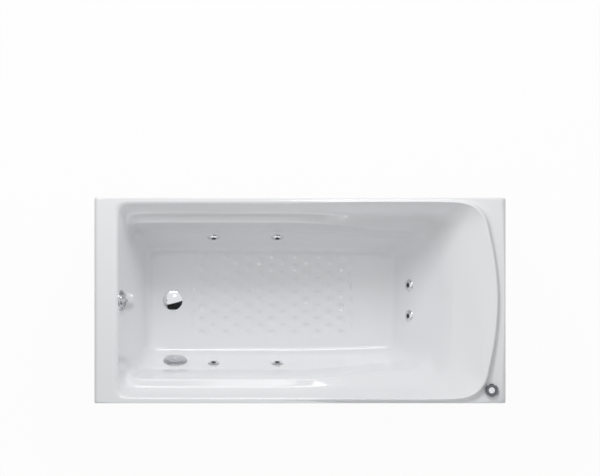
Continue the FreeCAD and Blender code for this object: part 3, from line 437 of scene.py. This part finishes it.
def deckRings(edge, height, inset):
    # from the lip's foot line out to the deck's edge, whose corners are rounded
    halfX, halfY, radius = tub["halfLength"] - inset, tub["halfWidth"] - inset, tub["edgeRadius"]
    outer = edge.copy()
    scale = np.maximum(np.abs(edge[:, 0]) / halfX, np.abs(edge[:, 1]) / halfY)
    outer[:, :2] = edge[:, :2] / scale[:, None]
    for sx in (1, -1):
        for sy in (1, -1):
            corner = np.array((sx * halfX, sy * halfY))
            nearest = np.argmin(np.linalg.norm(outer[:, :2] - corner, axis=1))
            outer[nearest, :2] = corner - np.array((sx, sy)) * radius * (1 - math.sqrt(0.5))
    outer[:, 2] = height
    flat = edge.copy()
    flat[:, 2] = height
    return [mix(flat, outer, k / tub["deckRows"]) for k in range(1, tub["deckRows"] + 1)]


def ringFaces(start, rows, columns, isFlipped=False):
    faces = []
    for i in range(rows - 1):
        for j in range(columns):
            a, b = start + i * columns + j, start + i * columns + (j + 1) % columns
            quad = (a, b, b + columns, a + columns)
            faces.append(quad[::-1] if isFlipped else quad)
    return faces


def buildTub():
    basin = basinGrid()
    columns = basin.shape[1]
    inner = np.concatenate([basin, floorRings(basin[-1])])
    around = np.roll(inner, -1, axis=1) - np.roll(inner, 1, axis=1)
    down = np.gradient(inner, axis=0)
    normal = np.cross(down, around)
    length = np.linalg.norm(normal, axis=2, keepdims=True)
    tiny = 1e-12
    normal = np.where(length > tiny, normal / np.maximum(length, tiny), (0, 0, -1))
    normal[-tub["floorRings"] - 2:] = (0, 0, -1)
    under = inner + normal * tub["wall"]
    under[0, :, 2] = tub["deckHeight"] - tub["wall"]
    rings = deckRings(inner[0], tub["deckHeight"], 0.0)[::-1]
    underRings = deckRings(under[0], tub["deckHeight"] - tub["wall"], tub["wall"])
    skirtFoot = tub["deckHeight"] - tub["skirt"]
    outerEdge, innerEdge = rings[0].copy(), underRings[-1].copy()
    outerEdge[:, 2] = innerEdge[:, 2] = skirtFoot
    top = np.concatenate([[outerEdge], rings, inner])
    back = np.concatenate([[innerEdge], underRings[::-1], under])
    points = np.concatenate([top.reshape(-1, 3), back.reshape(-1, 3)])
    faces = ringFaces(0, len(top), columns)
    first = len(top) * columns
    faces += ringFaces(first, len(back), columns, True)
    for j in range(columns):
        k = (j + 1) % columns
        faces.append((first + j, first + k, k, j))
    mesh = bpy.data.meshes.new("moulded tub")
    mesh.from_pydata(points.tolist(), [], faces)
    piece = addObject("mouldedTub", mesh)
    closeMesh(mesh)
    smoothFaces(mesh)
    return piece, basin


tubPiece, basin = buildTub()
print("bath: tub skin", len(tubPiece.data.polygons), "faces")


# anti-slip dimples pressed into the floor
dimples = {
    "pitch": (0.084, 0.048), "radius": 0.0145, "depth": 0.0021, "soft": 0.45,
    "middle": (-0.104, 0.024), "halfSize": (0.29, 0.155), "floorTop": 0.19,
}


def finishTree(tree, geometry, material, end):
    # every tree ends in real geometry with its material on
    real = tree.nodes.new("GeometryNodeRealizeInstances")
    coat = tree.nodes.new("GeometryNodeSetMaterial")
    tree.links.new(geometry, real.inputs[0])
    tree.links.new(real.outputs[0], coat.inputs["Geometry"])
    tree.links.new(material, coat.inputs["Material"])
    tree.links.new(coat.outputs[0], end.inputs[0])


def buildDimpleTree():
    # two staggered grids of shallow round dimples within a rectangle of the floor
    tree, start, end = newTree(
        "antiSlipDimples", "GeometryNodeTree",
        [("Geometry", "NodeSocketGeometry", None), ("Middle", "NodeSocketVector", (*dimples["middle"], 0)),
         ("Pitch X", "NodeSocketFloat", dimples["pitch"][0]), ("Pitch Y", "NodeSocketFloat", dimples["pitch"][1]),
         ("Radius", "NodeSocketFloat", dimples["radius"]), ("Depth", "NodeSocketFloat", dimples["depth"]),
         ("Half Length", "NodeSocketFloat", dimples["halfSize"][0]),
         ("Half Width", "NodeSocketFloat", dimples["halfSize"][1]),
         ("Floor Top", "NodeSocketFloat", dimples["floorTop"]),
         ("Material", "NodeSocketMaterial", finishes["acrylic"])],
        [("Geometry", "NodeSocketGeometry")])
    values = start.outputs

    def do(operation, a, b=None, kind="ShaderNodeMath"):
        return mathNode(tree, operation, a, b, kind)

    position = tree.nodes.new("GeometryNodeInputPosition").outputs[0]
    split = tree.nodes.new("ShaderNodeSeparateXYZ")
    tree.links.new(do("SUBTRACT", position, values["Middle"], "ShaderNodeVectorMath"), split.inputs[0])
    x, y, z = split.outputs

    def latticeDistance(shift):
        # distance to the nearest dimple of one of the two grids
        squares = []
        for value, pitch in ((x, values["Pitch X"]), (y, values["Pitch Y"])):
            turns = do("ADD", do("DIVIDE", value, pitch), shift)
            away = do("MULTIPLY", do("SUBTRACT", turns, do("ROUND", turns)), pitch)
            squares.append(do("MULTIPLY", away, away))
        return do("SQRT", do("ADD", *squares))

    distance = do("MINIMUM", latticeDistance(0.0), latticeDistance(0.5))
    flatRadius = do("MULTIPLY", values["Radius"], 1.0 - dimples["soft"])
    pressed = rangeNode(tree, distance, flatRadius, values["Radius"], 1.0, 0.0, "SMOOTHSTEP")
    inLength = do("LESS_THAN", do("ABSOLUTE", x), values["Half Length"])
    inWidth = do("LESS_THAN", do("ABSOLUTE", y), values["Half Width"])
    inside = do("MULTIPLY", do("MULTIPLY", inLength, inWidth), do("LESS_THAN", z, values["Floor Top"]))
    drop = do("MULTIPLY", do("MULTIPLY", pressed, inside), do("MULTIPLY", values["Depth"], -1.0))
    shift = tree.nodes.new("ShaderNodeCombineXYZ")
    tree.links.new(drop, shift.inputs["Z"])
    press = tree.nodes.new("GeometryNodeSetPosition")
    tree.links.new(values["Geometry"], press.inputs["Geometry"])
    tree.links.new(shift.outputs[0], press.inputs["Offset"])
    finishTree(tree, press.outputs[0], values["Material"], end)
    return tree


pressDimples = tubPiece.modifiers.new("antiSlipDimples", "NODES")
pressDimples.node_group = buildDimpleTree()
plainMesh(tubPiece)
print("bath: dimples pressed")


# holes for the fittings
holes = {
    "jet": 0.0152, "suction": 0.0222, "overflow": 0.0242, "drain": 0.0252, "regulator": 0.0162,  # radii
    "reach": 0.03, "suctionPlace": (-0.455, -0.220), "sides": 48, "jets": 6,
}


def wallAxis(x, y):
    # point and direction of the basin's face at a plan position
    flat = basin.reshape(-1, 3)
    nearest = np.argmin(np.hypot(flat[:, 0] - x, flat[:, 1] - y))
    i, j = divmod(int(nearest), basin.shape[1])
    around = basin[i, (j + 1) % basin.shape[1]] - basin[i, j - 1]
    down = basin[i + 1, j] - basin[i - 1, j]
    out = np.cross(around, down)
    out /= np.linalg.norm(out)
    here = basin[i, j]
    z = here[2] - (out[0] * (x - here[0]) + out[1] * (y - here[1])) / out[2]
    return Vector((x, y, z)), Vector(out)


joints = {j["name"]: j for j in frame["joints"]}


def holePlaces():
    # middle, axis and radius of each hole; the turning fittings give theirs by their joints
    turning = [("nozzle_%d_turn" % k, holes["jet"]) for k in range(1, holes["jets"] + 1)]
    places = [*turning, ("overflow_knob_turn", holes["overflow"]), ("air_regulator_turn", holes["regulator"])]
    places = [(Vector(joints[name]["pos_m"]), Vector(joints[name]["axis"]), radius) for name, radius in places]
    places.insert(len(turning), (*wallAxis(*holes["suctionPlace"]), holes["suction"]))
    places.append((boxMiddle("drain_flange"), Vector((0, 0, 1)), holes["drain"]))
    return places


def cutHoles(piece):
    work = bmesh.new()
    for position, axis, radius in holePlaces():
        bmesh.ops.create_cone(work, cap_ends=True, segments=holes["sides"], radius1=radius, radius2=radius,
                              depth=holes["reach"], matrix=axisFrame(position, axis))
    mesh = bpy.data.meshes.new("hole drills")
    work.to_mesh(mesh)
    work.free()
    drills = addObject("holeDrills", mesh)
    cut = piece.modifiers.new("holes", "BOOLEAN")
    cut.operation, cut.solver, cut.object = "DIFFERENCE", "EXACT", drills
    plainMesh(piece)
    bpy.data.objects.remove(drills)


cutHoles(tubPiece)
smoothFaces(tubPiece.data)
tubPiece.data.materials.clear()
tubPiece.data.materials.append(finishes["acrylic"])
tubPiece.data.materials.append(finishes["glassFibre"])
for face in tubPiece.data.polygons:
    share = max(abs(face.center.x) / tub["halfLength"], abs(face.center.y) / tub["halfWidth"])
    face.material_index = 0 if face.normal.z > tub["seenSlope"] or share > tub["skirtShare"] else 1
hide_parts("tub_shell")
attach(tubPiece, "tub")
print("bath: tub skin has its holes,", len(tubPiece.data.polygons), "faces")


# turned pieces, smooth where the CAD solid is in facets
plug = {"capHeight": 0.010, "capRadius": 0.035, "capEdge": 0.0038, "rimRadius": 0.036, "rimLow": 0.0023,
        "seatRadius": 0.0205, "seatLow": 0.0004, "neckRadius": 0.019,
        "stemRadius": 0.004, "stemLength": 0.044, "capSteps": 18, "sides": 96}
foot = {"padRadius": 0.024, "padHeight": 0.006, "padEdge": 0.0012, "socketRadius": 0.010, "socketTop": 0.014,
        "rodRadius": 0.006, "rodTop": 0.124, "threadPitch": 0.00175, "threadDepth": 0.0009,
        "threadSteps": 20, "threadSides": 4, "sides": 40, "count": 6}
sharpAngle = math.radians(35.0)     # edges sharper than this stay crisp


def turnedMesh(name, profile, sides, place):
    # open profile of (radius, height) pairs, from the axis round to the axis, turned about Z
    count = len(profile)
    points, faces = [], []
    for k in range(sides):
        a = 2 * math.pi * k / sides
        points += [(r * math.cos(a), r * math.sin(a), z) for r, z in profile]
    for k in range(sides):
        here, there = k * count, (k + 1) % sides * count
        faces += [(here + i, here + i + 1, there + i + 1, there + i) for i in range(count - 1)]
    mesh = bpy.data.meshes.new(name)
    mesh.from_pydata(points, [], faces)
    mesh.transform(place)
    closeMesh(mesh)
    smoothFaces(mesh)
    mesh.set_sharp_from_angle(angle=sharpAngle)
    return mesh


def buildPlug():
    # domed cap on its stem
    low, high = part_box("drain_plug")
    place = Matrix.Translation(((low.x + high.x) / 2, (low.y + high.y) / 2, high.z - plug["capHeight"]))
    drop = plug["capHeight"] - plug["capEdge"]
    ball = (plug["capRadius"] ** 2 + drop ** 2) / (2 * drop)
    profile = []
    for k in range(plug["capSteps"] + 1):
        r = plug["capRadius"] * k / plug["capSteps"]
        profile.append((r, plug["capHeight"] - ball + math.sqrt(ball ** 2 - r ** 2)))
    profile += [(plug["rimRadius"], plug["rimLow"]), (plug["seatRadius"], plug["rimLow"]),
                (plug["neckRadius"], plug["seatLow"]), (plug["stemRadius"], 0),
                (plug["stemRadius"], -plug["stemLength"]), (0, -plug["stemLength"])]
    piece = addObject("plugCap", turnedMesh("plug cap", profile, plug["sides"], place))
    piece.data.materials.append(finishes["chrome_plate"])
    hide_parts("drain_plug")
    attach(piece, nodes["drain_plug"]["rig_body"])


def buildThreadTree():
    # helical ridge wound on the rod it is given, with the rod kept
    tree, start, end = newTree(
        "footThread", "GeometryNodeTree",
        [("Geometry", "NodeSocketGeometry", None), ("Base", "NodeSocketVector", (0, 0, 0)),
         ("Radius", "NodeSocketFloat", foot["rodRadius"]), ("Depth", "NodeSocketFloat", foot["threadDepth"]),
         ("Pitch", "NodeSocketFloat", foot["threadPitch"]),
         ("Length", "NodeSocketFloat", foot["rodTop"] - foot["socketTop"]),
         ("Material", "NodeSocketMaterial", finishes["zinc_steel"])],
        [("Geometry", "NodeSocketGeometry")])
    values = start.outputs
    ridgeRadius = mathNode(tree, "MULTIPLY", values["Depth"], 0.5)
    middle = mathNode(tree, "SUBTRACT", values["Radius"], ridgeRadius)
    helix = tree.nodes.new("GeometryNodeCurveSpiral")
    helix.inputs["Resolution"].default_value = foot["threadSteps"]
    tree.links.new(mathNode(tree, "DIVIDE", values["Length"], values["Pitch"]), helix.inputs["Rotations"])
    tree.links.new(middle, helix.inputs["Start Radius"])
    tree.links.new(middle, helix.inputs["End Radius"])
    tree.links.new(values["Length"], helix.inputs["Height"])
    section = tree.nodes.new("GeometryNodeCurvePrimitiveCircle")
    section.inputs["Resolution"].default_value = foot["threadSides"]
    tree.links.new(ridgeRadius, section.inputs["Radius"])
    ridge = tree.nodes.new("GeometryNodeCurveToMesh")
    tree.links.new(helix.outputs[0], ridge.inputs["Curve"])
    tree.links.new(section.outputs[0], ridge.inputs["Profile Curve"])
    ridge.inputs["Fill Caps"].default_value = True
    shift = tree.nodes.new("GeometryNodeTransform")
    tree.links.new(ridge.outputs[0], shift.inputs["Geometry"])
    tree.links.new(values["Base"], shift.inputs["Translation"])
    join = tree.nodes.new("GeometryNodeJoinGeometry")
    tree.links.new(values["Geometry"], join.inputs[0])
    tree.links.new(shift.outputs[0], join.inputs[0])
    finishTree(tree, join.outputs[0], values["Material"], end)
    return tree


def setInput(modifier, label, value):
    # a modifier knows its inputs by their sockets' identifiers
    for item in modifier.node_group.interface.items_tree:
        if item.item_type == "SOCKET" and item.in_out == "INPUT" and item.name == label:
            modifier[item.identifier] = value


def buildFeet():
    # threaded levelling feet, one on each foot body
    tree = buildThreadTree()
    edge, pad, padTop, top = foot["padEdge"], foot["padRadius"], foot["padHeight"], foot["rodTop"]
    root = foot["rodRadius"] - foot["threadDepth"]
    profile = [(0, 0), (pad - edge, 0), (pad, edge), (pad, padTop - edge), (pad - edge, padTop),
               (foot["socketRadius"], foot["socketTop"]), (root, foot["socketTop"]),
               (root, top - edge), (root - edge, top), (0, top)]
    for k in range(1, foot["count"] + 1):
        node = "levelling_foot_%d" % k
        low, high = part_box(node)
        base = Vector(((low.x + high.x) / 2, (low.y + high.y) / 2, low.z))
        mesh = turnedMesh("levelling foot", profile, foot["sides"], Matrix.Translation(base))
        piece = addObject("levellingFoot%d" % k, mesh)
        wind = piece.modifiers.new("footThread", "NODES")
        wind.node_group = tree
        setInput(wind, "Base", base + Vector((0, 0, foot["socketTop"])))
        plainMesh(piece)
        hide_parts(node)
        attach(piece, nodes[node]["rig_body"])


buildPlug()
buildFeet()
print("bath: plug and levelling feet turned")


# floor, light and camera
studio = {
    "floorColor": (0.86, 0.86, 0.86), "floorSize": 14.0, "whiteShare": 0.95,
    "cardColor": (0.012, 0.012, 0.013), "mattRoughness": 0.9,
    "worldStrength": 0.57, "lowShare": 0.12, "brightSide": (0.0, 0.53, 0.848), "lowEdge": (-0.10, 0.20),
    "lamps": {
        "window": {"energy": 30.0, "place": (-0.2, 1.9, 2.2), "size": (1.6, 0.8), "aim": (0, 0, 0.4)},
        "glint": {"energy": 2.6, "place": (-0.1, 1.0, 3.0), "size": (0.5, 0.3), "aim": (0, 0, 0.2)},
        "lowFill": {"energy": 13.0, "place": (0.1, -2.6, 0.93), "size": (2.6, 0.2), "aim": (0.1, 0.35, 0.54)},
    },
    "cardHeight": 3.6, "cardSize": (9.0, 4.6), "cardNearEdge": -0.60, "cardTurn": 14.0,
    "metresPerPixel": 1.5 / 411.0, "imageWidth": 600, "imageHeight": 476, "bathMiddlePixel": (300.0, 300.5),
    "cameraHeight": 3.2,
}


def seenDirectly(tree):
    # 1 for camera, glossy and transmission rays, which see an even white
    path = tree.nodes.new("ShaderNodeLightPath")
    return mathNode(tree, "MAXIMUM", path.outputs["Is Camera Ray"],
                    mathNode(tree, "MAXIMUM", path.outputs["Is Glossy Ray"], path.outputs["Is Transmission Ray"]))


def layFloor():
    size = studio["floorSize"] / 2
    mesh = bpy.data.meshes.new("studio floor")
    corners = [(-size, -size, 0), (size, -size, 0), (size, size, 0), (-size, size, 0)]
    mesh.from_pydata(corners, [], [(0, 1, 2, 3)])
    floor = addObject("studioFloor", mesh)
    material, tree, shader = newMaterial("studioFloor", studio["floorColor"], studio["mattRoughness"])
    glow = tree.nodes.new("ShaderNodeEmission")
    blend = tree.nodes.new("ShaderNodeMixShader")
    tree.links.new(mathNode(tree, "MULTIPLY", seenDirectly(tree), studio["whiteShare"]), blend.inputs["Fac"])
    tree.links.new(shader.outputs["BSDF"], blend.inputs[1])
    tree.links.new(glow.outputs[0], blend.inputs[2])
    tree.links.new(blend.outputs[0], tree.nodes["Material Output"].inputs["Surface"])
    mesh.materials.append(material)


def buildSky():
    # dim low down on the near side, so the basin's far wall keeps its shaded band
    world = bpy.data.worlds.new("studio light")
    world.use_nodes = True
    scene.world = world
    tree = world.node_tree
    background = tree.nodes["Background"]
    background.inputs["Color"].default_value = (1, 1, 1, 1)
    side = tree.nodes.new("ShaderNodeVectorMath")
    side.operation = "DOT_PRODUCT"
    side.inputs[1].default_value = studio["brightSide"]
    tree.links.new(tree.nodes.new("ShaderNodeTexCoord").outputs["Generated"], side.inputs[0])
    dim, full = studio["worldStrength"] * studio["lowShare"], studio["worldStrength"]
    level = rangeNode(tree, side.outputs["Value"], *studio["lowEdge"], dim, full)
    tree.links.new(rangeNode(tree, seenDirectly(tree), 0.0, 1.0, level, 1.0), background.inputs["Strength"])


def hangLamps():
    for name, lamp in studio["lamps"].items():
        light = bpy.data.lights.new(name, "AREA")
        light.energy, light.shape = lamp["energy"], "RECTANGLE"
        light.size, light.size_y = lamp["size"]
        holder = addObject(name, light)
        holder.location = lamp["place"]
        holder.rotation_euler = (Vector(lamp["aim"]) - Vector(lamp["place"])).to_track_quat("-Z", "Y").to_euler()


def hangCard():
    # dark card above and in front that only mirrored light sees, so the polished metal gets its dark half
    (width, depth), near = studio["cardSize"], studio["cardNearEdge"]
    turn = Matrix.Rotation(math.radians(studio["cardTurn"]), 4, "Z")
    mesh = bpy.data.meshes.new("dark card")
    corners = [(-width / 2, near), (-width / 2, near - depth), (width / 2, near - depth), (width / 2, near)]
    mesh.from_pydata([turn @ Vector((x, y, studio["cardHeight"])) for x, y in corners], [], [(0, 1, 2, 3)])
    card = addObject("darkCard", mesh)
    mesh.materials.append(newMaterial("darkCard", studio["cardColor"], studio["mattRoughness"])[0])
    card.visible_camera = card.visible_diffuse = card.visible_shadow = False


def placeCamera():
    # straight down, with the bath below the middle of the picture as it was photographed
    camera = bpy.data.cameras.new("plan view")
    camera.type = "ORTHO"
    camera.ortho_scale = studio["imageWidth"] * studio["metresPerPixel"]
    holder = addObject("planView", camera)
    px, py = studio["bathMiddlePixel"]
    holder.location = ((studio["imageWidth"] / 2 - px) * studio["metresPerPixel"],
                       (py - studio["imageHeight"] / 2) * studio["metresPerPixel"], studio["cameraHeight"])
    scene.camera = holder


layFloor()
buildSky()
hangLamps()
hangCard()
placeCamera()
scene.view_settings.view_transform = "Standard"
print("bath: studio ready")
